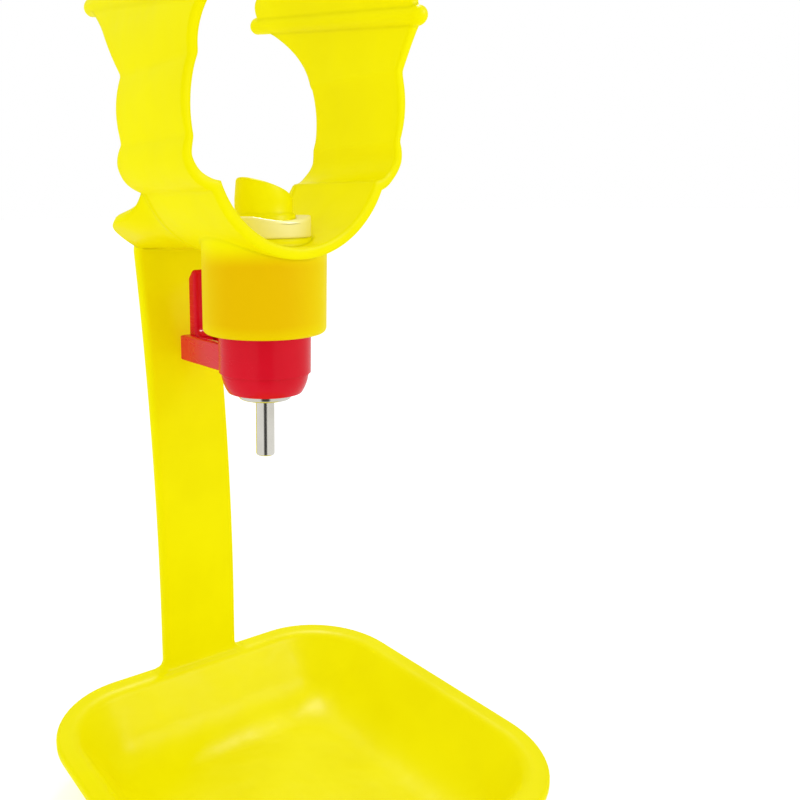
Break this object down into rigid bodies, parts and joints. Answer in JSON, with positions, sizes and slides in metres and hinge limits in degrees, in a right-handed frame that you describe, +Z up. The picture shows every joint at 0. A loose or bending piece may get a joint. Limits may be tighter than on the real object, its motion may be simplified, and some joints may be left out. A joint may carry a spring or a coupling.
{
  "type": "poultry nipple drinker",
  "caption": "Clip-on poultry nipple drinker: snap arms and spigot for a round water pipe, nipple with a tilting steel pin, and a drip cup hung below on a strap.",
  "frame": {"origin": "on the water pipe's axis, straight above the nipple's axis", "axes": "+Z up, +Y along the water pipe towards the hanging strap, +X across the pipe"},
  "size_m": [0.0608, 0.0635, 0.1219],
  "materials": {
    "yellow_plastic": "moulded, slightly translucent, soft gloss",
    "red_plastic": "moulded, glossy",
    "steel": "turned and polished stainless steel",
    "seal_rubber": "soft white, translucent",
    "white_plastic": "plain moulded"
  },
  "bodies": {
    "housing": {"drip_cup": "yellow_plastic", "pipe_seal": "seal_rubber", "nipple_body": "red_plastic", "pin_bush": "steel", "ball_seat": "steel", "seat_retainer": "white_plastic", "body_seal": "seal_rubber"},
    "pin": {"trigger_pin": "steel"},
    "ball": {"valve_ball": "steel"}
  },
  "joints": [
    {"name": "pin_tilt", "type": "hinge", "parent": "housing", "child": "pin", "pos_m": [0, 0, -0.03452], "axis": [0, 1, 0], "range_deg": [-10, 10]},
    {"name": "ball_lift", "type": "slide", "parent": "housing", "child": "ball", "axis": [0, 0, 1], "range_m": [0, 0.0006]}
  ]
}
